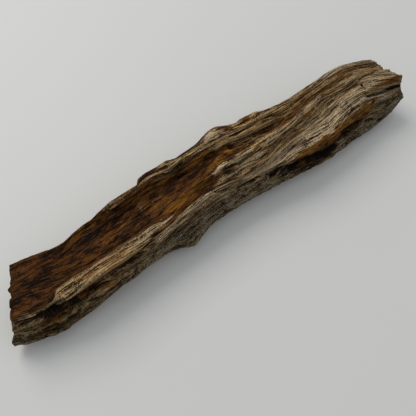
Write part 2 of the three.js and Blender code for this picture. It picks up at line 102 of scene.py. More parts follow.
strips = {  # points (mm along, guide number), half width, rise, level share, fade in, fade out
    "paleTongue": ([(26, 2.85), (44, 2.95), (64, 2.9), (76, 2.9), (90, 2.6)], 5, 2.6, 0.7, 4, 12),
    "tongueHollow": ([(18, 3.1), (28, 3.4), (36, 3.5), (52, 3.58), (76, 3.4)], 2.6, -4.6, 0.5, 7, 8),
    "nearEndGroove": ([(4, 3.2), (15, 3.3), (22, 3.6), (42, 3.8)], 1.5, -2, 0.3, 4, 8),
    "lowerLedge": ([(28, 4), (50, 3.94), (64, 3.98), (78, 4.16)], 3, 1.8, 0.6, 6, 8),
    "roughLump": ([(6, 4.15), (18, 4.1), (28, 4.3)], 5, 1.6, 0.4, 5, 5),
    "rimStrip": ([(64, 0.12), (93, 0.3), (134, 0.42), (150, 0.5)], 3.2, 1.2, 0.6, 8, 6),
    "troughLine": ([(101, 0.75), (111, 0.8), (128, 1), (144, 1.1), (155, 0.95)], 1.5, -1.6, 0.3, 8, 6),
    "orangeRidge": ([(114, 2.1), (134, 1.9), (144, 1.72), (154, 1.45), (164, 1.2)], 2.4, 1.3, 0.2, 10, 5),
    "longPocket": ([(168, 0.98), (189, 1.04), (200, 1.05)], 3, -3.4, 0.5, 2.5, 18),
    "pocketLip": ([(166, 0.7), (190, 0.74), (212, 0.84)], 1.4, 1, 0.4, 6, 8),
    "rimCrack": ([(178, 0.55), (197, 0.46), (209, 0.55)], 1.2, -2.2, 0.2, 8, 3),
    "rustHollow": ([(132, 2.3), (140, 2.3), (147, 2.25)], 2.8, -2.6, 0.5, 6, 3),
    "creamLedge": ([(150, 1.95), (164, 1.98), (176, 1.94), (186, 2.1)], 2.2, 1.6, 0.6, 3, 6),
    "creamSecond": ([(192, 2), (210, 2.02), (228, 2.04), (250, 2)], 1.8, 1.3, 0.6, 3, 10),
    "splitBelow": ([(158, 2.18), (178, 2.2)], 0.9, -1.2, 0.2, 4, 5),
    "thirdLedge": ([(156, 2.34), (165, 2.38), (184, 2.38)], 1.4, 1.1, 0.5, 3, 6),
    "greyTrough": ([(149, 2.7), (179, 2.72), (211, 2.78), (244, 2.72), (274, 2.62)], 2.8, -1.5, 0.3, 14, 8),
    "crestEdge": ([(160, 3.2), (186, 3.08), (212, 3.16), (241, 3.1), (278, 2.95)], 1.8, 1, 0.2, 14, 3),
    "slantCheck": ([(139, 2.96), (148, 3.56)], 0.9, -1.2, 0.1, 2, 2),
    "edgeHole": ([(160, 4.05), (172, 4.02)], 2.2, -3, 0.4, 4, 4),
    "sideHollow": ([(186, 4.25), (200, 4.38), (212, 4.42), (226, 4.6), (254, 4.5)], 3.6, -4.6, 0.5, 9, 7),
    "sideHollowEnd": ([(250, 4.3), (262, 4.4), (276, 4.7)], 2.4, -3, 0.4, 5, 6),
    "rustLip": ([(206, 4.02), (226, 4), (250, 4.02), (274, 4), (284, 3.86)], 1.7, 1.4, 0.5, 8, 5),
    "endBlock": ([(281, 2.95), (312, 2.8)], 7.5, 1.8, 0.85, 1.5, 0),
    "blockCrack": ([(276, 2.66), (284, 2.36), (292, 2.24), (300, 1.8), (312, 1.6)], 1.1, -2.4, 0.2, 3, 0),
    "blockFoot": ([(281, 3.6), (298, 3.66), (312, 3.56)], 1.5, -2.4, 0.3, 3, 0),
    "farBench": ([(100, 10.6), (110, 10.62), (119, 10.68)], 4, 3.1, 0.6, 5, 10),
    "farRimLump": ([(186, 10.95), (198, 10.95)], 3, 1.2, 0.4, 4, 8),
    "farGrooveLow": ([(30, 9.7), (120, 9.9), (200, 9.6)], 2.4, -2.2, 0.3, 20, 30),
    "farGrooveHigh": ([(150, 10.3), (230, 10.2), (290, 10.35)], 2.2, -2.4, 0.3, 20, 14),
    "farTerrace": ([(180, 9.8), (240, 9.7), (300, 9.8)], 4.5, 1.8, 0.7, 16, 4),
    "farScar": ([(44, 10.4), (70, 10.3)], 3.2, -2.4, 0.5, 8, 14),
    "footHollow": ([(96, 6.2), (150, 6.3), (196, 6.15)], 3, -1.8, 0.4, 16, 20),
}

soleHollows = {  # worn into the flat underside
    "soleSplit": ([(24, 7.5), (70, 7.35), (112, 7.55)], 1.6, -1.6, 0.3, 12, 12),
    "soleSeam": ([(196, 7.5), (240, 7.6), (290, 7.45)], 1.8, -1.8, 0.3, 16, 8),
}

knots = {  # mm along, guide number, reach along the grain, half width, rise
    "farKnot": (162.5, 10.85, 13, 6.5, 5.4),
    "nearKnob": (118, 4.95, 9.5, 5.5, 4.6),
    "backKnot": (232, 9.3, 12, 8, 3),
    "bandSwell": (214, 3.5, 24, 6, 1),
}

crossChecks = {  # mm along, from guide, to guide, half width, rise, lean
    "blockCheck": (280, 2.65, 3.55, 1.5, -2.4, 3),
    "farCheck": (96, 9.2, 10.5, 1, -1.4, -4),
    "nearCheck": (147, 4.1, 4.8, 0.9, -1.2, 5),
}

limb = {
    "length": 310,  # along the grain
    "ringRadius": 24,  # mean radius, spreads the patterns round the piece
    "curveShare": 0.6,  # 0 straight between guides, 1 fully rounded
    "girthSteps": 220,  # straight steps that the girth is measured in
    "backLine": 8.7,  # guide number past which a place counts as over the rim, under 0
    "layerSteps": 2,
    "layerSlope": 0.55,  # share of a layer's width that is flat, before it slopes
    "layerSlopeRise": 0.5,  # share of the step that the slope rises, the rest is a sharp break
    "stripSpread": 1.15,  # reach of a strip, times its half width
    "stripEndStray": 2,  # how much more a strip's ends stray than its sides
    "knotFall": 1.2,  # how fast a knot falls off from its middle
    "checkFade": 0.12,  # share of a cross check's length that each end fades over
    "checkFloor": 0.2,  # share of its half width that is level
    "faceCalm": 0.65,  # share of the relief that the brown face lacks
    "faceFineCalm": 0.55,  # share of the fine relief that it lacks
    "soleFineCalm": 0.8,  # the same of the worn sole
    "pitEdge": (0.25, 0.75),  # pattern values over which a pit deepens
    "soundCrumbs": 0.25,  # share of the crumbs that sound wood has too
    "raggedReach": 9,  # mm at each end that the break draws out
    "endSkew": 2.5,  # mm that the fibres run askew at the near end
}
guideCount = len(guideLines)


def smooth(low, high, value):
    share = np.clip((value - low) / (high - low), 0, 1)
    return share * share * (3 - 2 * share)


def scatter(i, j, k, seed):  # evenly mixed value for a whole-number place, by large odd factors
    mask = 0xFFFFFFFF
    mixed = (i * 374761393 + j * 668265263 + k * 1274126177 + seed * 974634777) & mask
    mixed = ((mixed ^ (mixed >> 13)) * 1103515245) & mask
    mixed = ((mixed ^ (mixed >> 15)) * 374761393) & mask
    return ((mixed ^ (mixed >> 16)) & 0xFFFFFF) / 0xFFFFFF * 2 - 1


def cloud(x, y, z, seed):
    x, y, z = np.broadcast_arrays(x, y, z)
    i, j, k = (np.floor(value).astype(np.int64) for value in (x, y, z))
    u, v, w = (smooth(0, 1, value - cell) for value, cell in ((x, i), (y, j), (z, k)))
    total = 0.0
    for stepX in (0, 1):
        for stepY in (0, 1):
            for stepZ in (0, 1):
                share = (u if stepX else 1 - u) * (v if stepY else 1 - v) * (w if stepZ else 1 - w)
                total = total + share * scatter(i + stepX, j + stepY, k + stepZ, seed)
    return total


def layered(value):  # cut into layers, each with a slope and then a sharp break
    scaled = (value + 1) * limb["layerSteps"]
    whole = np.floor(scaled)
    slope = limb["layerSlopeRise"] * smooth(limb["layerSlope"], 1, scaled - whole)
    return (whole + slope) / limb["layerSteps"] - 1


def pitted(value):
    return smooth(*limb["pitEdge"], value)


grains = {  # patterns drawn out along the grain: mm across, times longer than wide, seed, amount
    "stray": (4, 6, 11, 0.9),  # mm that a strip strays from its line
    "splinteredEdge": (1.8, 4, 45, 0.45),
    "layers": (5, 9, 1, 0.9),  # mm of relief, the same as the solid's
    "fibres": (3, 7, 2, 0.45),
    "swells": (14, 3, 3, 0.8),
    "splinters": (2.0, 9, 41, 0.45),  # mm of relief finer than the solid's, here split layers
    "strands": (1.3, 14, 42, 0.32),  # fibre bundles
    "chips": (1.7, 3, 46, 0.2),  # short broken fibres
    "pits": (2.6, 1.7, 43, 1.0),  # decay of the near side
    "crumbs": (1.3, 1.3, 44, 0.3),
    "nearBreak": (5, 1, 21, 1.5),  # mm that the rims of the broken ends are ragged
    "nearTeeth": (1.6, 1, 51, 0.8),
    "farBreak": (5, 1, 22, 1.5),
    "farTeeth": (1.6, 1, 52, 0.8),
    "sway": (12, 2.2, 71, 1.6),  # mm that the drawn fibres stray sideways
    "waver": (4, 2.5, 72, 0.5),
    "tremble": (1.8, 3, 73, 0.22),
    "zoneSway": (4, 6, 61, 0.1),  # guide numbers that the side of a colour zone strays
    "zoneWaver": (1.6, 4, 63, 0.06),
    "zoneEnd": (1.8, 6, 62, 6),  # mm that its ends stray
}


def grain(name, along, guide, shaped=lambda value: value):
    size, stretch, seed, amount = grains[name]
    angle = 2 * np.pi * guide / guideCount
    radius = limb["ringRadius"] / size
    value = cloud(along / (size * stretch), radius * np.cos(angle), radius * np.sin(angle), seed)
    return amount * shaped(value)


places = {  # guide numbers that each fades in and out over, then mm along, None where it has no end
    "brownFace": ((0.3, 0.9), (1.9, 2.2), None, (140, 175)),
    "flatSole": ((6.7, 7.1), (7.9, 8.3), (14, 34), (272, 292)),
    "decayedSide": ((3.9, 4.4), (6.2, 6.8), (90, 120), None),
    "roughNearEnd": ((3.7, 4.0), (5.0, 5.6), None, (26, 40)),
    "skewGrain": ((-1, 0.4), (1.9, 2.8), None, (0, 60)),
}


def inPlace(name, along, guide):
    guideIn, guideOut, alongIn, alongOut = places[name]
    share = smooth(*guideIn, guide) * (1 - smooth(*guideOut, guide))
    if alongIn:
        share = share * smooth(*alongIn, along)
    if alongOut:
        share = share * (1 - smooth(*alongOut, along))
    return share


def signedGuide(guide):  # under 0 over the rim on the far side
    return np.where(guide > limb["backLine"], guide - guideCount, guide)


def lineThrough(points, x):
    points = np.array(points, float)
    at, values = points[:, 0], points[:, 1:]
    slope = np.empty_like(values)
    slope[1:-1] = (values[2:] - values[:-2]) / (at[2:] - at[:-2])[:, None]
    slope[0] = (values[1] - values[0]) / (at[1] - at[0])
    slope[-1] = (values[-1] - values[-2]) / (at[-1] - at[-2])
    i = np.clip(np.searchsorted(at, x, "right") - 1, 0, len(at) - 2)
    span = (at[i + 1] - at[i])[:, None]
    t = (x - at[i])[:, None] / span
    start = values[i] * (1 + 2 * t) * (1 - t) ** 2 + slope[i] * span * t * (1 - t) ** 2
    end = values[i + 1] * t * t * (3 - 2 * t) - slope[i + 1] * span * t * t * (1 - t)
    return np.column_stack([x, start + end])


def loft(shares, guides):  # plain surface: rows by points by xyz
    lines = []
    for points in guideLines.values():
        x = points[0][0] + (points[-1][0] - points[0][0]) * shares
        lines.append(lineThrough(points, x))
    lines = np.array(lines)
    i = np.floor(guides).astype(int)
    f = (guides - i)[:, None, None]
    a, b, c, d = (lines[(i + step) % guideCount] for step in (-1, 0, 1, 2))
    curved = 0.5 * (2 * b + (c - a) * f + (2 * a - 5 * b + 4 * c - d) * f**2 + (3 * b - 3 * c + d - a) * f**3)
    straight = b + (c - b) * f
    surface = straight + (curved - straight) * limb["curveShare"]
    surface[..., 2] = np.maximum(surface[..., 2], 0)
    return surface.transpose(1, 0, 2)


class Girth:  # mm round each row, from one guide number to another
    def __init__(self, shares):
        self.parts = limb["girthSteps"]
        ring = loft(shares, np.arange(self.parts + 1) * guideCount / self.parts)
        steps = np.linalg.norm(np.diff(ring, axis=1), axis=2)
        self.lengths = np.concatenate([np.zeros((len(shares), 1)), np.cumsum(steps, 1)], 1)
        self.total = self.lengths[:, -1:]

    def at(self, guides):
        place = np.mod(guides, guideCount) * self.parts / guideCount
        i = np.minimum(self.parts - 1, np.floor(place).astype(int))
        row = np.arange(len(self.lengths))[:, None]
        return self.lengths[row, i] + (self.lengths[row, i + 1] - self.lengths[row, i]) * (place - i)

    def across(self, start, end):
        return np.mod(self.at(end) - self.at(start) + self.total / 2, self.total) - self.total / 2


def stripHeight(strip, girth, along, guide, stray):
    line, half, rise, level, fadeIn, fadeOut = strip
    line = np.array(line, float)
    centre = np.interp(along[:, 0], line[:, 0], line[:, 1])[:, None]
    splintered = grain("splinteredEdge", along, guide)
    distance = np.abs(girth.across(centre, guide) + stray + splintered)
    ragged = along + stray * limb["stripEndStray"]
    opening = smooth(line[0, 0] - fadeIn, line[0, 0], ragged) if fadeIn else 1
    closing = 1 - smooth(line[-1, 0], line[-1, 0] + fadeOut, ragged) if fadeOut else 1
    return rise * (1 - smooth(level, 1, distance / (half * limb["stripSpread"]))) * opening * closing


def knotHeight(knot, girth, along, guide):
    place, line, reach, half, rise = knot
    sideways = girth.across(np.full_like(along[:, :1], line), guide) / half
    return rise * np.exp(-limb["knotFall"] * (((along - place) / reach) ** 2 + sideways**2))


def checkHeight(check, along, guide, stray):
    place, start, end, half, rise, lean = check
    fade = limb["checkFade"]
    turn = np.mod(guide - start, guideCount) / (end - start)
    centre = place + lean * (turn - 0.5) + stray
    taper = smooth(0, fade, turn) * (1 - smooth(1 - fade, 1, turn)) * (turn <= 1)
    return rise * taper * (1 - smooth(limb["checkFloor"], 1, np.abs(along - centre) / half))


def workedHeight(girth, along, guide):  # the same relief as the solid's
    stray = grain("stray", along, guide)
    height = np.zeros_like(along)
    for strip in strips.values():
        height += stripHeight(strip, girth, along, guide, stray)
    for knot in knots.values():
        height += knotHeight(knot, girth, along, guide)
    for check in crossChecks.values():
        height += checkHeight(check, along, guide, stray)
    calm = 1 - limb["faceCalm"] * inPlace("brownFace", along, guide)
    height += calm * (grain("layers", along, guide, layered) + grain("fibres", along, guide))
    height += grain("swells", along, guide)
    height *= 1 - inPlace("flatSole", along, guide)
    for hollow in soleHollows.values():
        height += stripHeight(hollow, girth, along, guide, stray)
    return height


def fineHeight(along, guide):  # finer than the solid: splinters, fibre bundles, pits and crumbs
    decay = decayed(along, guide)
    calm = 1 - limb["faceFineCalm"] * inPlace("brownFace", along, guide)
    height = calm * (grain("splinters", along, guide, layered) + grain("strands", along, guide))
    height += calm * grain("chips", along, guide)
    height -= grain("pits", along, guide, pitted) * decay
    height += grain("crumbs", along, guide) * (limb["soundCrumbs"] + decay)
    return height * (1 - limb["soleFineCalm"] * inPlace("flatSole", along, guide))


def decayed(along, guide):
    return np.maximum(inPlace("decayedSide", along, guide), inPlace("roughNearEnd", along, guide))


brokenEnds = {
    # which way each one faces, the mm that it bulges and is rough, and its seed
    "near": {"side": -1, "bulge": 0.8, "relief": 1.4, "seed": 31},
    "far": {"side": 1, "bulge": 3.5, "relief": 2, "seed": 32},
    "rings": 17,  # mesh rings from the rim to the middle
    "evenedPoints": 15,  # points each way that the rim's notches are evened over
    "planeReach": 0.5,  # share of the way in where the break lies in its own plane
    "edgeReach": 0.3,  # share of the way in where its relief is full
    "rough": (11, 8, 0),  # mm wide, mm high, seed step
    "blocks": (4.5, 3, 9),  # torn blocks of fibres
    "crumbs": (1.6, 1.3, 17),
    "blockDepth": 0.7,  # mm
    "crumbDepth": 0.3,
    "markEdge": 0.75,  # share of the radius that the colour of the breaks reaches
    "iron": 0.6,  # strength of the iron stain on them
}


def evenedRim(rim):  # the rim with its notches evened out
    reach = brokenEnds["evenedPoints"]
    return sum(np.roll(rim, step, axis=0) for step in range(-reach, reach + 1)) / (2 * reach + 1)


def breakCloud(name, ring, seed):
    wide, high, seedStep = brokenEnds[name]
    return cloud(ring[:, 1] / wide, ring[:, 2] / high, seed, seed + seedStep)


def breakRings(rim, side, bulge, relief, seed):  # a broken end, from its rim to its middle
    ends = brokenEnds
    middle = rim.mean(axis=0)
    offset = rim - middle
    tilt = np.linalg.lstsq(offset[:, 1:], offset[:, 0], rcond=None)[0]
    evened = evenedRim(rim)
    rings = []
    for step in range(1, ends["rings"] + 2):
        inward = step / (ends["rings"] + 1)
        level = smooth(0, ends["planeReach"], inward)
        ring = rim + (evened - rim) * level
        ring = ring + (middle - ring) * inward
        plane = middle[0] + (ring[:, 1:] - middle[1:]) @ tilt
        ring[:, 0] += (plane - ring[:, 0]) * level
        rough = breakCloud("rough", ring, seed)
        torn = ends["blockDepth"] * layered(breakCloud("blocks", ring, seed))
        torn = torn + ends["crumbDepth"] * breakCloud("crumbs", ring, seed)
        edge = smooth(0, ends["edgeReach"], inward)
        ring[:, 0] += side * (bulge * (1 - (1 - inward) ** 2) + relief * rough * edge)
        ring[:, 0] += side * torn * edge
        rings.append(ring)
    return rings[:-1], rings[-1][0]


stoneMesh = {
    "rows": 356,  # along the grain, 0.87 mm apart
    "topStart": -0.7,  # guide number where the top begins
    "topSpan": 6,
    "topPoints": 176,  # points round a row over the top and near side, 0.55 mm apart
    "backPoints": 72,
    "slopeShare": 0.002,  # share of the length each way that a slope is measured over
    "slopeGuides": 0.04,
    "evenedRows": 16,  # rows each way that the pattern's spacing is evened over
    "hollowRows": 3,  # rows and points each way that a hollow is measured against
    "hollowPoints": 4,
    "inset": 0.02,  # mm kept free inside the solid's box
}


def rowGuides():  # closer together over the top and the near side
    start, span = stoneMesh["topStart"], stoneMesh["topSpan"]
    topPoints, backPoints = stoneMesh["topPoints"], stoneMesh["backPoints"]
    top = start + span * np.arange(topPoints) / topPoints
    back = start + span + (guideCount - span) * np.arange(backPoints) / backPoints
    return np.concatenate([top, back])


def outwardNormal(shares, guides):
    shareStep, guideStep = stoneMesh["slopeShare"], stoneMesh["slopeGuides"]
    lengthwise = loft(shares + shareStep, guides) - loft(shares - shareStep, guides)
    before, after = np.mod(guides - guideStep, guideCount), np.mod(guides + guideStep, guideCount)
    sideways = loft(shares, after) - loft(shares, before)
    normal = np.cross(sideways, lengthwise)
    return normal / np.linalg.norm(normal, axis=2, keepdims=True)


def workedRows():
    shares = np.linspace(0, 1, stoneMesh["rows"])
    guides = np.mod(rowGuides(), guideCount)
    along = shares[:, None] * limb["length"] + 0 * guides[None, :]
    guide = guides[None, :] + 0 * along
    height = workedHeight(Girth(shares), along, guide) + fineHeight(along, guide)
    surface = loft(shares, guides) + outwardNormal(shares, guides) * height[..., None]
    reach = limb["raggedReach"]
    nearShare = 1 - smooth(0, reach, along)
    farShare = smooth(limb["length"] - reach, limb["length"], along)
    for rim, share in (("near", nearShare), ("far", farShare)):
        for pattern in ("Break", "Teeth"):
            surface[..., 0] += grain(rim + pattern, 0 * along, guide) * share
    surface[..., 2] = np.maximum(surface[..., 2], 0)
    return surface, along, guide, height


def walkedAngles(surface):  # angle round the section, by the distance walked between guide lines
    steps = np.linalg.norm(np.roll(surface, -1, axis=1) - surface, axis=2)
    reach = stoneMesh["evenedRows"]
    padded = np.pad(steps, ((reach, reach), (0, 0)), "edge")
    evened = sum(padded[shift:shift + len(steps)] for shift in range(2 * reach + 1)) / (2 * reach + 1)
    walked = np.pad(np.cumsum(evened, axis=1), ((0, 0), (1, 0)))
    marks = [0, *np.searchsorted(rowGuides(), np.arange(guideCount)), steps.shape[1]]
    placed = np.empty_like(walked)
    girth = 0.0
    for first, last in zip(marks[:-1], marks[1:]):
        lengths = walked[:, first:last + 1] - walked[:, first:first + 1]
        width = lengths[:, -1].mean()
        placed[:, first:last + 1] = girth + width * lengths / lengths[:, -1:]
        girth += width
    return 2 * np.pi * placed[:, :-1] / girth, girth / (2 * np.pi)


def hollowness(height):  # how far each point lies below its surroundings, mm
    rows, points = stoneMesh["hollowRows"], stoneMesh["hollowPoints"]
    total = np.zeros_like(height)
    for rowStep in range(-rows, rows + 1):
        shifted = np.roll(height, rowStep, axis=0)
        for pointStep in range(-points, points + 1):
            total += np.roll(shifted, pointStep, axis=1)
    return total / ((2 * rows + 1) * (2 * points + 1)) - height


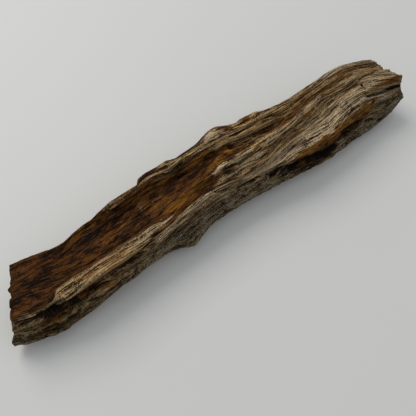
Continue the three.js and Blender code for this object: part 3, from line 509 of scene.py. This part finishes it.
# Zones of colour on the unrolled surface: (mm along, from guide, to guide) along each one, with its
# strength. About 0.5 gives scattered islands, and 0.8 or more a nearly solid stain. Guide numbers
# under 0 are over the rim on the far side.
zones = {
    "iron": [
        ([(-5, -0.3, 2.95), (22, -0.3, 2.9), (27, -0.3, 2.58), (60, -0.2, 2.55), (66, 0.1, 2.5),
          (74, 0.42, 2.5), (86, 0.3, 2.5), (100, 0.45, 2.65), (112, 0.55, 2.82), (126, 0.6, 2.75),
          (138, 0.65, 2.65), (146, 0.7, 2.5), (160, 0.75, 2.36), (166, 0.75, 1.8),
          (172, 0.7, 1.75)], 1.0),
        ([(170, 0.8, 1.7), (205, 0.8, 1.7), (225, 0.75, 1.45), (245, 0.7, 1.5)], 0.56),
        ([(240, 0.7, 1.5), (262, 0.8, 1.5), (286, 0.9, 1.5)], 0.6),
        ([(165, -1.2, 4.2), (310, -1.2, 4.2)], 0.28),
        ([(230, 4.4, 5.3), (250, 4.5, 5.3), (282, 4.3, 4.7)], 0.5),
        ([(86, 2.5, 3.0), (96, 2.55, 3.05), (106, 2.6, 2.98)], 0.85),
        ([(204, 3.82, 4.7), (226, 3.84, 4.7), (250, 3.86, 4.7), (274, 3.84, 4.5), (286, 3.75, 4.0)], 1.0),
        ([(-5, 3.2, 3.7), (20, 3.3, 3.8)], 0.5),
        ([(200, 0.5, 0.64), (230, 0.48, 0.62), (262, 0.52, 0.66), (276, 0.55, 0.66)], 0.75),
        ([(292, 0.5, 1.1), (310, 0.4, 0.9)], 0.5),
        ([(188, 0.0, 0.5), (236, 0.0, 0.5)], 0.44),
        ([(54, 0.0, 0.4), (84, 0.05, 0.4)], 0.5),
        ([(282, 0.7, 1.0), (296, 1.2, 1.6)], 0.5),
        ([(14, 3.78, 4.1), (19, 3.75, 4.25), (24, 3.8, 4.1)], 0.5),
        ([(280, 3.84, 4.0), (290, 3.8, 3.92)], 0.8),
        ([(60, -1.2, 0.04), (150, -1.2, 0.04), (290, -1.2, 0.0)], 0.66),
        ([(18, 3.1, 3.8), (40, 3.35, 3.8), (60, 3.4, 3.78), (76, 3.15, 3.7)], 0.8),
        ([(286, 3.2, 3.45), (292, 3.05, 3.5), (300, 2.95, 3.5), (312, 3.0, 3.5)], 0.62),
        ([(84, 0.1, 0.4), (100, 0.1, 0.6), (122, 0.2, 0.7), (150, 0.25, 0.7)], 0.72),
        ([(182, 1.8, 2.12), (192, 1.8, 2.15)], 0.75),
        ([(148, -0.7, 0.3), (174, -0.7, 0.3)], 0.66),
        ([(-5, -2.6, -0.3), (40, -2.2, -0.3), (90, -1.4, -0.3), (150, -0.9, -0.3)], 0.8),
        ([(60, -2.3, -1.6), (120, -2.1, -1.4), (210, -1.9, -1.2), (240, -1.7, -1.4)], 0.6),
        ([(200, -2.6, -2.0), (300, -2.6, -1.7)], 0.55),
    ],
    "ochre": [
        ([(104, 2.05, 2.3), (112, 2.05, 2.5), (122, 1.9, 2.45), (134, 1.75, 2.2), (144, 1.5, 1.98),
          (154, 1.2, 1.75), (166, 0.98, 1.45), (174, 0.85, 1.2)], 0.85),
        ([(206, 3.86, 4.12), (226, 3.86, 4.1)], 0.75),
        ([(226, 3.86, 4.1), (250, 3.88, 4.1), (274, 3.86, 4.1), (286, 3.75, 3.98)], 0.52),
        ([(226, 2.2, 2.42), (233, 2.2, 2.5), (243, 2.25, 2.45)], 0.8),
        ([(243, 0.12, 0.42), (256, 0.15, 0.42), (270, 0.2, 0.4)], 0.5),
        ([(56, 3.74, 3.95), (61, 3.74, 4.05), (67, 3.78, 4.02)], 0.85),
        ([(15, 3.85, 4.0), (20, 3.84, 4.1), (25, 3.86, 4.04)], 0.6),
        ([(40, 0.05, 0.6), (54, 0.1, 0.65), (66, 0.2, 0.5)], 0.5),
        ([(6, 3.75, 4.4), (28, 3.75, 4.4)], 0.6),
        ([(76, 0.5, 0.9), (100, 0.55, 0.95), (125, 0.6, 1.0), (156, 0.6, 1.05)], 0.52),
        ([(4, 0.9, 1.5), (14, 0.95, 1.5)], 0.42),
        ([(70, 1.25, 1.55), (96, 1.3, 1.7), (112, 1.6, 2.0)], 0.5),
        ([(36, 1.6, 1.9), (60, 1.62, 1.85), (80, 1.7, 2.0)], 0.42),
        ([(2, 1.6, 2.0), (16, 1.55, 2.1)], 0.4),
        ([(275, 0.65, 0.98), (284, 0.7, 1.0), (294, 0.75, 0.95)], 0.6),
        ([(286, 3.0, 3.3), (300, 2.9, 3.3)], 0.36),
        ([(24, 3.2, 3.6), (46, 3.3, 3.7), (70, 3.35, 3.7)], 0.4),
        ([(216, 4.05, 4.5), (250, 4.05, 4.6), (280, 4.0, 4.6)], 0.5),
        ([(250, 1.5, 1.9), (276, 1.45, 1.9)], 0.46),
        ([(30, 2.7, 3.05), (48, 2.7, 3.05), (72, 2.75, 3.0)], 0.46),
        ([(110, -1.8, -1.4), (160, -1.6, -1.2)], 0.5),
        ([(228, -1.0, -0.6), (262, -1.1, -0.7)], 0.45),
        ([(250, 1.8, 2.2), (270, 1.75, 2.1), (282, 1.7, 2.0)], 0.35),
    ],
    "honey": [
        ([(24, 2.62, 3.1), (32, 2.6, 3.22), (60, 2.64, 3.2), (80, 2.68, 2.98)], 0.52),
        ([(78, 2.6, 3.2), (100, 2.7, 3.2)], 0.5),
        ([(60, -0.1, 0.5), (100, -0.1, 0.6), (165, -0.1, 0.7)], 0.6),
        ([(160, -1.2, 1.1), (240, -1.2, 1.2), (312, -1.2, 1.2)], 0.95),
        ([(176, 1.1, 2.4), (275, 1.0, 2.4)], 0.7),
        ([(281, 0.9, 3.4), (312, 0.9, 3.3)], 1.0),
    ],
    "silica": [
        ([(24, 2.65, 2.9), (30, 2.75, 2.98), (50, 2.7, 3.0), (66, 2.75, 2.98)], 0.3),
        ([(78, 2.58, 3.0), (90, 2.52, 2.96), (103, 2.5, 2.8)], 0.58),
        ([(90, 3.1, 3.3), (97, 3.02, 3.4), (104, 2.98, 3.45), (122, 2.9, 3.45), (136, 2.8, 3.35),
          (152, 2.82, 3.2)], 0.85),
        ([(147, 2.02, 2.16), (152, 1.95, 2.18), (166, 1.93, 2.18), (179, 1.95, 2.12)], 1.0),
        ([(191, 1.92, 2.18), (200, 1.9, 2.2), (214, 1.9, 2.14), (232, 1.95, 2.12), (246, 1.95, 2.2)], 0.95),
        ([(152, 2.36, 2.56), (184, 2.34, 2.52)], 0.9),
        ([(67, 0.05, 0.3), (72, 0.05, 0.4), (82, 0.1, 0.32)], 0.5),
        ([(100, 0.05, 0.35), (117, 0.05, 0.42), (134, 0.05, 0.5)], 0.35),
        ([(138, 0.0, 0.45), (165, 0.0, 0.4)], 0.5),
        ([(190, 0.15, 0.42), (205, -0.2, 0.45), (225, -0.2, 0.45), (245, -0.2, 0.42),
          (258, -0.2, 0.45)], 0.34),
        ([(244, 0.0, 0.5), (275, -0.2, 0.55), (312, -0.2, 0.55)], 0.74),
        ([(154, 3.4, 3.8), (170, 3.1, 3.85), (186, 3.02, 3.88), (212, 3.05, 3.88), (241, 3.0, 3.86),
          (277, 2.9, 3.75)], 0.86),
        ([(60, -1.2, -0.7), (130, -1.3, -0.9), (200, -0.9, -0.4), (300, -1.3, -0.4)], 0.55),
        ([(281, 2.3, 3.5), (295, 2.2, 3.1), (312, 2.0, 2.9)], 0.66),
        ([(278, 3.6, 4.0), (300, 3.7, 4.1)], 0.5),
        ([(283, 1.0, 1.6), (310, 1.2, 1.7)], 0.5),
        ([(258, 1.8, 2.3), (280, 1.75, 2.3)], 0.5),
        ([(52, 3.6, 3.72), (76, 3.56, 3.7)], 0.4),
    ],
    "clay": [
        ([(62, 4.0, 6.6), (70, 3.7, 6.6), (80, 3.45, 6.6), (92, 3.38, 6.6), (104, 3.5, 6.6), (114, 3.8, 6.6),
          (130, 4.02, 6.6), (150, 4.02, 6.6), (165, 4.1, 6.6), (200, 4.2, 6.6), (282, 4.15, 6.6)], 0.95),
        ([(96, 3.35, 4.1), (120, 3.45, 4.1), (140, 3.6, 4.1), (150, 3.7, 4.1)], 0.66),
        ([(28, 3.76, 4.4), (50, 3.78, 4.4), (66, 3.8, 4.4)], 0.62),
        ([(-5, 3.35, 6.6), (12, 3.4, 6.6), (30, 3.7, 6.6), (62, 4.3, 6.6)], 0.8),
        ([(280, 4.15, 6.6), (315, 4.0, 6.6)], 0.8),
        ([(150, 2.6, 2.95), (200, 2.6, 2.9), (250, 2.5, 2.85), (276, 2.45, 2.75)], 0.42),
        ([(-5, 6.3, 8.6), (315, 6.3, 8.6)], 0.55),
        ([(-5, -2.6, -2.0), (80, -2.6, -1.9), (170, -2.6, -2.2), (315, -2.6, -2.1)], 0.6),
    ],
    "manganese": [
        ([(6, 3.72, 4.5), (28, 3.8, 4.7)], 0.5),
        ([(86, -0.5, 0.0), (120, -0.6, 0.02), (156, -0.5, 0.0)], 0.6),
        ([(284, 4.0, 5.2), (306, 4.0, 5.2)], 0.36),
        ([(30, 3.7, 4.7), (80, 3.8, 4.8)], 0.48),
        ([(94, 3.5, 4.0), (136, 3.55, 4.0)], 0.4),
        ([(136, 3.0, 3.5), (158, 3.0, 3.4)], 0.44),
        ([(66, 3.6, 6.2), (104, 3.6, 6.2), (150, 4.0, 6.2), (190, 4.1, 6.2)], 0.28),
        ([(112, 1.1, 1.6), (150, 1.15, 1.5)], 0.42),
        ([(-5, 0.2, 2.9), (30, 0.2, 2.9)], 0.3),
        ([(30, -1.5, -1.1), (80, -1.3, -1.0)], 0.6),
        ([(130, -1.2, -0.95), (230, -1.05, -0.8)], 0.5),
        ([(180, -2.0, -1.7), (290, -2.0, -1.6)], 0.45),
        ([(36, 0.62, 0.85), (44, 0.6, 0.95), (50, 0.65, 0.9)], 0.7),
        ([(58, 0.5, 0.75), (68, 0.52, 0.8), (80, 0.55, 0.75)], 0.4),
        ([(48, 0.9, 1.12), (62, 0.86, 1.1), (72, 0.9, 1.15), (84, 0.95, 1.12)], 0.8),
        ([(63, 1.2, 1.34), (72, 1.2, 1.38), (82, 1.24, 1.36)], 0.7),
        ([(46, 1.2, 1.5), (50, 1.2, 1.75), (56, 1.4, 1.95)], 0.5),
        ([(14, 1.05, 1.5), (24, 1.0, 1.5)], 0.45),
        ([(4, 2.5, 2.8), (24, 2.55, 2.85)], 0.5),
        ([(24, 0.25, 0.6), (40, 0.3, 0.6)], 0.4),
        ([(96, 1.1, 1.35), (108, 1.15, 1.35)], 0.5),
        ([(130, 1.3, 1.6), (141, 1.25, 1.5)], 0.55),
        ([(102, 0.78, 0.95), (115, 0.82, 0.98), (134, 0.88, 1.08)], 0.26),
        ([(167, 0.8, 1.2), (175, 0.82, 1.2), (190, 0.85, 1.15), (206, 0.88, 1.1)], 0.36),
        ([(128, 2.12, 2.5), (149, 2.12, 2.45)], 0.3),
        ([(150, 2.2, 2.34), (184, 2.22, 2.34), (204, 2.15, 2.35)], 0.5),
        ([(132, 2.55, 2.85), (162, 2.6, 2.95)], 0.6),
        ([(176, 1.3, 1.5), (200, 1.35, 1.6)], 0.5),
        ([(152, 1.3, 1.5), (160, 1.25, 1.4)], 0.4),
        ([(140, 3.0, 3.15), (150, 3.3, 3.5)], 0.6),
        ([(156, 3.2, 3.35), (166, 3.4, 3.55)], 0.5),
    ],
    # These rows follow the cut hollows, slots and checks: black carbonised wood together with painted shade
    # in those recesses.
    "carbonAndHollowShade": [
        ([(192, 4.4, 4.6), (200, 4.45, 4.8), (210, 4.5, 5.0), (222, 4.5, 5.1), (234, 4.55, 4.8)], 0.74),
        ([(226, 4.25, 4.6), (246, 4.25, 4.6), (268, 4.3, 4.6)], 0.52),
        ([(182, 4.32, 4.42), (192, 4.3, 4.55), (206, 4.35, 4.7)], 0.6),
        ([(14, 3.1, 3.3), (20, 3.1, 3.4), (32, 3.15, 3.55)], 1.0),
        ([(30, 3.15, 3.55), (44, 3.35, 3.6), (54, 3.42, 3.6), (66, 3.4, 3.6)], 0.48),
        ([(159, 3.85, 4.1), (171, 3.86, 4.08)], 0.8),
        ([(294, 3.5, 3.72), (312, 3.4, 3.7)], 0.85),
        ([(4, 3.06, 3.24), (18, 3.2, 3.46), (40, 3.7, 3.8)], 0.7),
        ([(278.4, 2.55, 2.9), (279.4, 2.6, 3.2), (280.4, 2.9, 3.5), (281.6, 3.2, 3.6)], 0.85),
        ([(281, 2.3, 2.4), (294, 2.12, 2.22)], 0.6),
    ],
    "chalcedony": [
        ([(281, 3.62, 3.78), (292, 3.62, 3.82), (304, 3.66, 3.84)], 0.7),
        ([(286, 3.8, 4.1), (305, 3.8, 4.2)], 0.42),
        ([(-5, 4.3, 5.2), (14, 4.4, 5.2)], 0.42),
        ([(64, 4.0, 6.2), (110, 3.9, 6.2), (185, 4.1, 6.2)], 0.38),
        ([(240, 4.5, 6.2), (306, 4.2, 6.2)], 0.36),
        ([(88.4, 1.16, 1.28), (90, 1.16, 1.28)], 1.2),
        ([(97, 2.38, 2.5), (98.5, 2.38, 2.5)], 0.8),
        ([(48, 3.58, 3.68), (49.5, 3.58, 3.68)], 1.2),
    ],
}


zoneEdges = {
    "soft": 0.16,  # guide numbers each way that a side is soft over
    "fade": 8,  # mm past its last point that an end fades over
    "fadeInside": 0.3,  # share of that which it fades over before the point
}


def zoneAmount(name, along, guide):
    signed = signedGuide(guide) + grain("zoneSway", along, guide) + grain("zoneWaver", along, guide)
    ragged = along + grain("zoneEnd", along, guide)
    amount = np.zeros_like(along)
    for rows, strength in zones[name]:
        rows = np.array(rows, float)
        low = np.interp(along, rows[:, 0], rows[:, 1])
        high = np.interp(along, rows[:, 0], rows[:, 2])
        soft = np.minimum(zoneEdges["soft"], (high - low) / 2)
        across = smooth(low - soft, low + soft, signed) * (1 - smooth(high - soft, high + soft, signed))
        start, end = rows[0, 0], rows[-1, 0]
        fade = min(zoneEdges["fade"], (end - start) / 2)
        inside = fade * zoneEdges["fadeInside"]
        opening = smooth(start - fade, start + inside, ragged)
        closing = 1 - smooth(end - inside, end + fade, ragged)
        amount = np.maximum(amount, strength * across * opening * closing)
    return amount


def closedMesh(loops, nearMiddle, farMiddle):
    points = np.concatenate([loops.reshape(-1, 3), [nearMiddle, farMiddle]])
    low, high = (np.array(corner) * 1000 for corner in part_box("petrified_wood"))
    points = np.clip(points, low + stoneMesh["inset"], high - stoneMesh["inset"])
    loopCount, width = loops.shape[:2]
    i, j = np.meshgrid(np.arange(loopCount - 1), np.arange(width), indexing="ij")
    corner = i * width + j
    beside = i * width + (j + 1) % width
    quads = np.stack([corner, beside, beside + width, corner + width], -1).reshape(-1, 4)
    last = (loopCount - 1) * width
    ring = np.arange(width)
    nextOne = (ring + 1) % width
    nearFan = np.stack([np.full(width, loopCount * width), nextOne, ring], -1)
    farFan = np.stack([np.full(width, loopCount * width + 1), last + ring, last + nextOne], -1)
    mesh = bpy.data.meshes.new("petrifiedWood")
    faces = quads.tolist() + nearFan.tolist() + farFan.tolist()
    mesh.from_pydata((points / 1000).tolist(), [], faces)
    mesh.update()
    mesh.polygons.foreach_set("use_smooth", [True] * len(mesh.polygons))
    return mesh


def grainWave(along, guide):  # mm that the fibres stray sideways
    wave = sum(grain(name, along, guide) for name in ("sway", "waver", "tremble"))
    return wave + limb["endSkew"] * inPlace("skewGrain", along, signedGuide(guide))


def withEnds(values):  # the same values carried on over the broken ends
    rings = brokenEnds["rings"]
    return np.concatenate([np.repeat(values[:1], rings, 0), values, np.repeat(values[-1:], rings, 0)])


def addAttribute(mesh, name, values, middles=(0, 0)):
    kind, field = ("FLOAT_VECTOR", "vector") if values.ndim == 3 else ("FLOAT", "value")
    attribute = mesh.attributes.new(name, kind, "POINT")
    attribute.data.foreach_set(field, np.append(values.ravel(), middles).astype(np.float32))


def markStone(mesh, loops, surface, along, guide, height):
    rings = brokenEnds["rings"]
    outer = np.arange(1, rings + 1) / (rings + 1)
    share = np.concatenate([outer, np.ones(len(surface)), outer[::-1]])[:, None]
    edges, lines = withEnds(along), withEnds(guide)
    angle, radius = walkedAngles(surface)
    angle = withEnds(angle) + grainWave(edges, lines) / radius
    radius = radius * share
    lengthwise = edges.copy()
    lengthwise[:rings] = loops[:rings, :, 0] - surface[0, :, 0]
    lengthwise[-rings:] = limb["length"] + loops[-rings:, :, 0] - surface[-1, :, 0]
    place = np.stack([lengthwise, radius * np.cos(angle), radius * np.sin(angle)], -1)
    addAttribute(mesh, "grainPlace", place, (0, 0, 0, limb["length"], 0, 0))

    onSide = smooth(brokenEnds["markEdge"], 1, share + 0 * edges)
    for name in zones:
        amount = zoneAmount(name, edges, lines) * onSide
        if name == "iron":
            amount = np.maximum(amount, brokenEnds["iron"] * (1 - onSide))
        addAttribute(mesh, name, amount)
    level = np.zeros((rings, height.shape[1]))
    # This measure drives the painted shade in hollows and the painted highlight on ridges.
    addAttribute(mesh, "hollow", np.concatenate([level, hollowness(height), level]))
    addAttribute(mesh, "pitted", decayed(edges, lines))
    addAttribute(mesh, "satin", inPlace("brownFace", edges, lines) * onSide)


def buildStone():
    surface, along, guide, height = workedRows()
    nearRings, nearMiddle = breakRings(surface[0], **brokenEnds["near"])
    farRings, farMiddle = breakRings(surface[-1], **brokenEnds["far"])
    loops = np.concatenate([np.array(nearRings[::-1]), surface, np.array(farRings)])
    mesh = closedMesh(loops, nearMiddle, farMiddle)
    markStone(mesh, loops, surface, along, guide, height)
    stone = bpy.data.objects.new("petrifiedWood", mesh)
    bpy.context.scene.collection.objects.link(stone)
    print("stone mesh", len(mesh.vertices), "points", len(mesh.polygons), "faces")
    return stone


def fromHex(text):  # sRGB hex to linear
    channels = [int(text[i:i + 2], 16) / 255 for i in (1, 3, 5)]
    return [c / 12.92 if c <= 0.04045 else ((c + 0.055) / 1.055) ** 2.4 for c in channels] + [1.0]


def addNode(tree, kind, settings, inputs, output=0):  # returns the output that the next node takes
    node = tree.nodes.new(kind)
    for name, value in settings.items():
        setattr(node, name, value)
    for name, value in inputs.items():
        if isinstance(value, bpy.types.NodeSocket):
            tree.links.new(value, node.inputs[name])
        else:
            node.inputs[name].default_value = value
    return node.outputs[output] if len(node.outputs) else node


# Silicified limb wood: quartz has replaced the wood cell by cell, and the limb was then split and
# weathered in the ground. That gives the eye matt stone with every fibre bundle still drawn on it,
# stained chocolate and ochre by iron and black by manganese, and pale where bare silica shows.
silicifiedWood = {
    "patterns": {  # mm across, times longer than wide, octaves, distortion, offset
        "strand": (2.0, 16, 2, 0.2, 0.0),  # bundles of fibres
        "fibre": (0.82, 18, 1, 0.0, 3.7),  # real ones are 0.1 to 0.3 mm, drawn as coarse as shows
        "thread": (0.88, 36, 1, 0.0, 31.9),  # the longest of them, drawn coarser too
        "streak": (2.2, 26, 2, 0.0, 43.1),  # stain that ran along the fibres
        "flake": (2.3, 3.4, 4, 0.35, 51.7),  # torn layers of the split face
        "blotch": (6.0, 2.6, 3, 0.3, 7.1),
        "grit": (0.7, 1.3, 1, 0.0, 11.3),  # broken cell ends
        "crack": (0.9, 26, 1, 0.0, 17.9),  # splits between fibres, real ones 0.05 to 0.2 mm
        "fleck": (0.8, 8, 1, 0.0, 23.3),  # bare quartz
    },
    "tones": {  # shares of the patterns, and the values that are drawn darkest and lightest
        "wood": ({"strand": 0.16, "fibre": 0.36, "grit": 0.32, "blotch": 0.16}, 0.445, 0.555),
        "mottled": ({"fibre": 0.15, "flake": 0.4, "grit": 0.18, "blotch": 0.27}, 0.42, 0.58),
        "banded": ({"strand": 0.14, "fibre": 0.34, "thread": 0.27, "grit": 0.25}, 0.442, 0.558),
        "crumbly": ({"blotch": 0.27, "fibre": 0.25, "grit": 0.48}, 0.445, 0.555),
    },
    "ragged": {"strand": 1.0, "fibre": 1.0, "grit": 0.6, "blotch": 1.4},  # unevenness of a stain's edge
    "base": {"tone": "wood", "dark": "#21140a", "light": "#cda976"},  # weathered outer wood
    "layers": {  # laid over it in this order
        "clay": {"tone": "crumbly", "dark": "#070503", "light": "#a08b63", "zone": True},  # held soil
        "honey": {"tone": "banded", "dark": "#35200d", "light": "#f8c886", "zone": True},  # stained silica
        "rustStreak": {"colour": "#4c2a11", "follows": "streak", "range": (0.51, 0.6), "most": 0.68},
        "greyStreak": {"colour": "#9c8d73", "follows": "streak", "range": (0.44, 0.36), "most": 0.35},
        "iron": {"tone": "mottled", "dark": "#1c0f08", "light": "#7d4c20", "zone": True},
        "ochre": {"tone": "mottled", "dark": "#45260a", "light": "#a06a26", "zone": True},
        "silica": {"tone": "banded", "dark": "#38281a", "light": "#eccfa4", "zone": True},
        "paleFleck": {"colour": "#d2b384", "follows": "fleck", "range": (0.58, 0.7), "most": 0.75,
                      "offIron": True},
        # Painted highlight: lightens each point by how far it stands above its surroundings, along ridges and
        # edges.
        "wornRidge": {"colour": "#b5986a", "follows": "hollow", "range": (-0.1, -0.7), "most": 0.45,
                      "offIron": True},
        "manganese": {"tone": "wood", "dark": "#0c0604", "light": "#2c170c", "zone": True},
        # Black laid in the cut hollows, slots and checks: partly the wood's own carbonised dark, partly
        # painted shade in those recesses.
        "carbonAndHollowShade": {"tone": "crumbly", "dark": "#060504", "light": "#2b2217", "zone": True},
        "chalcedony": {"tone": "crumbly", "dark": "#46382b", "light": "#b0a28e", "zone": True},
        "crack": {"colour": "#130b06", "follows": "crack", "range": (0.36, 0.27), "most": 0.42},
        # Painted shade: darkens each point by how far it lies below its surroundings, in creases and hollows.
        "soil": {"colour": "#0e0a07", "follows": "hollow", "range": (0.15, 1.1), "most": 0.5},
    },
    "octaveShare": 0.6,  # strength of each finer octave
    "ironHides": {"From Min": 0.2, "From Max": 0.9, "To Min": 1.0, "To Max": 0.12},  # the offIron layers
    "zoneEdge": {"From Min": 0.38, "From Max": 0.68},  # over the zone's strength and the raggedness
    "zoneLimit": {"From Min": 0.02, "From Max": 0.2},  # over the zone's strength alone
    "reliefs": {"fibre": 0.9, "strand": 0.4, "thread": 0.4, "flake": 0.4, "grit": 0.24},
    "reliefHeight": 0.0034,  # metres, over patterns that stay near their middle value
    "specular": 0.1,  # dull, its surface is rough below the size of the grit
    "roughSatin": 0.38,  # the brown face, polished by handling
    "roughMatt": 0.7,
    "roughSpread": 0.24,  # added where the grit is palest
}


smoothStep = {"interpolation_type": "SMOOTHSTEP"}
colourMix = {"data_type": "RGBA"}
add, multiply, multiplyAdd = ({"operation": kind} for kind in ("ADD", "MULTIPLY", "MULTIPLY_ADD"))


def weightedSum(tree, drawn, shares, start=0.0):
    total = start
    for pattern, share in shares.items():
        total = addNode(tree, "ShaderNodeMath", multiplyAdd, {0: drawn[pattern], 1: share, 2: total})
    return total


def drawPatterns(tree, look):  # by name: what the mesh marks, the patterns and the tones
    drawn = {}
    for name in [*zones, "hollow", "pitted", "satin"]:
        drawn[name] = addNode(tree, "ShaderNodeAttribute", {"attribute_name": name}, {}, "Fac")
    place = addNode(tree, "ShaderNodeAttribute", {"attribute_name": "grainPlace"}, {}, "Vector")
    for name, (size, stretch, octaves, distortion, offset) in look["patterns"].items():
        scale = (1 / (size * stretch), 1 / size, 1 / size)
        squeezed = addNode(tree, "ShaderNodeVectorMath", multiplyAdd, {0: place, 1: scale, 2: (offset,) * 3})
        inputs = {"Vector": squeezed, "Scale": 1.0, "Detail": octaves, "Distortion": distortion}
        inputs["Roughness"] = look["octaveShare"]
        drawn[name] = addNode(tree, "ShaderNodeTexNoise", {}, inputs)
    for name, (shares, darkest, lightest) in look["tones"].items():
        inputs = {"Value": weightedSum(tree, drawn, shares), "From Min": darkest, "From Max": lightest}
        drawn[name] = addNode(tree, "ShaderNodeMapRange", smoothStep, inputs)
    return drawn


def coatOf(tree, drawn, layer):
    if "colour" in layer:
        return fromHex(layer["colour"])
    inputs = {0: drawn[layer["tone"]], 6: fromHex(layer["dark"]), 7: fromHex(layer["light"])}
    return addNode(tree, "ShaderNodeMix", colourMix, inputs, 2)


def zoneShare(tree, look, zone, ragged):  # the patterns break up the edge of the stain
    uneven = addNode(tree, "ShaderNodeMath", add, {0: zone, 1: ragged})
    inside = addNode(tree, "ShaderNodeMapRange", smoothStep, {"Value": uneven, **look["zoneEdge"]})
    within = addNode(tree, "ShaderNodeMapRange", smoothStep, {"Value": zone, **look["zoneLimit"]})
    return addNode(tree, "ShaderNodeMath", multiply, {0: inside, 1: within})


def layColours(tree, look, drawn):
    ragged = weightedSum(tree, drawn, look["ragged"], -sum(look["ragged"].values()) / 2)
    offIron = addNode(tree, "ShaderNodeMapRange", smoothStep, {"Value": drawn["iron"], **look["ironHides"]})
    colour = coatOf(tree, drawn, look["base"])
    for name, layer in look["layers"].items():
        if "zone" in layer:
            share = zoneShare(tree, look, drawn[name], ragged)
        else:
            follows, (start, full) = drawn[layer["follows"]], layer["range"]
            inputs = {"Value": follows, "From Min": start, "From Max": full, "To Max": layer["most"]}
            share = addNode(tree, "ShaderNodeMapRange", smoothStep, inputs)
        if "offIron" in layer:
            share = addNode(tree, "ShaderNodeMath", multiply, {0: share, 1: offIron})
        inputs = {0: share, 6: colour, 7: coatOf(tree, drawn, layer)}
        colour = addNode(tree, "ShaderNodeMix", colourMix, inputs, 2)
    return colour


def stoneRoughness(tree, look, drawn):
    inputs = {"Value": drawn["satin"], "To Min": look["roughMatt"], "To Max": look["roughSatin"]}
    rough = addNode(tree, "ShaderNodeMapRange", {}, inputs)
    inputs = {0: drawn["grit"], 1: look["roughSpread"], 2: rough}
    return addNode(tree, "ShaderNodeMath", multiplyAdd, inputs)


def stoneNormal(tree, look, drawn):
    relief = weightedSum(tree, drawn, look["reliefs"])
    crumbs = addNode(tree, "ShaderNodeMath", multiply, {0: drawn["grit"], 1: drawn["pitted"]})
    relief = addNode(tree, "ShaderNodeMath", add, {0: relief, 1: crumbs})
    inputs = {"Strength": 1.0, "Distance": look["reliefHeight"], "Height": relief}
    return addNode(tree, "ShaderNodeBump", {}, inputs)


def makeSilicifiedWood():
    look = silicifiedWood
    material = bpy.data.materials.new("silicifiedWood")
    material.use_nodes = True
    tree = material.node_tree
    tree.nodes.clear()
    drawn = drawPatterns(tree, look)
    inputs = {
        "Base Color": layColours(tree, look, drawn),
        "Roughness": stoneRoughness(tree, look, drawn),
        "Normal": stoneNormal(tree, look, drawn),
        "Specular IOR Level": look["specular"],
    }
    shader = addNode(tree, "ShaderNodeBsdfPrincipled", {}, inputs)
    addNode(tree, "ShaderNodeOutputMaterial", {}, {"Surface": shader})
    return material


stone = buildStone()
stone.data.materials.append(makeSilicifiedWood())
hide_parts("petrified_wood")
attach(stone, "root")
print("stone dressed")


studio = {
    "table": "#f5f5f2",
    "tableRough": 0.55,
    "tableSize": 6.0,
    "tableDrop": 0.0001,  # keeps it just clear of the stone's sole
    "sky": "#e6eaee",
    "skyStrength": 0.5,
    "lamp": "#fffaf2",
    "lampPower": 7.5,
    "lampSize": 0.9,
    "lampPlace": (-0.12, 1.0, 1.15),  # behind the stone, so its near side is in shade
    "lens": 45,
    "sensor": 36,
    "nearest": 0.01,  # metres, as every place and distance here
    "target": (-0.019, -0.014, 0.018),
    "distance": 0.33,
    "azimuth": -35,
    "elevation": 57,
}


def makeTable():  # matt laminate, an even pale surface that takes soft shadows
    half = studio["tableSize"] / 2
    mesh = bpy.data.meshes.new("table")
    corners = [(-half, -half, 0), (half, -half, 0), (half, half, 0), (-half, half, 0)]
    mesh.from_pydata(corners, [], [(0, 1, 2, 3)])
    table = bpy.data.objects.new("table", mesh)
    table.location.z = -studio["tableDrop"]
    bpy.context.scene.collection.objects.link(table)
    material = bpy.data.materials.new("laminate")
    material.use_nodes = True
    shader = material.node_tree.nodes["Principled BSDF"]
    shader.inputs["Base Color"].default_value = fromHex(studio["table"])
    shader.inputs["Roughness"].default_value = studio["tableRough"]
    mesh.materials.append(material)


def aim(thing, place, target):
    thing.location = place
    thing.rotation_euler = (Vector(target) - Vector(place)).to_track_quat("-Z", "Y").to_euler()


def makeLights():
    world = bpy.data.worlds.new("studio")
    world.use_nodes = True
    world.node_tree.nodes["Background"].inputs["Color"].default_value = fromHex(studio["sky"])
    world.node_tree.nodes["Background"].inputs["Strength"].default_value = studio["skyStrength"]
    bpy.context.scene.world = world
    light = bpy.data.lights.new("window", "AREA")
    light.size = studio["lampSize"]
    light.energy = studio["lampPower"]
    light.color = fromHex(studio["lamp"])[:3]
    lamp = bpy.data.objects.new("window", light)
    bpy.context.scene.collection.objects.link(lamp)
    aim(lamp, studio["lampPlace"], (0, 0, 0))


def makeCamera():
    azimuth, elevation = math.radians(studio["azimuth"]), math.radians(studio["elevation"])
    level = math.cos(elevation)
    back = Vector((math.sin(azimuth) * level, -math.cos(azimuth) * level, math.sin(elevation)))
    camera = bpy.data.cameras.new("camera")
    camera.lens = studio["lens"]
    camera.sensor_width = studio["sensor"]
    camera.clip_start = studio["nearest"]
    eye = bpy.data.objects.new("camera", camera)
    bpy.context.scene.collection.objects.link(eye)
    aim(eye, Vector(studio["target"]) + back * studio["distance"], studio["target"])
    bpy.context.scene.camera = eye


makeTable()
makeLights()
makeCamera()
bpy.context.scene.view_settings.view_transform = "Standard"
print("studio set")
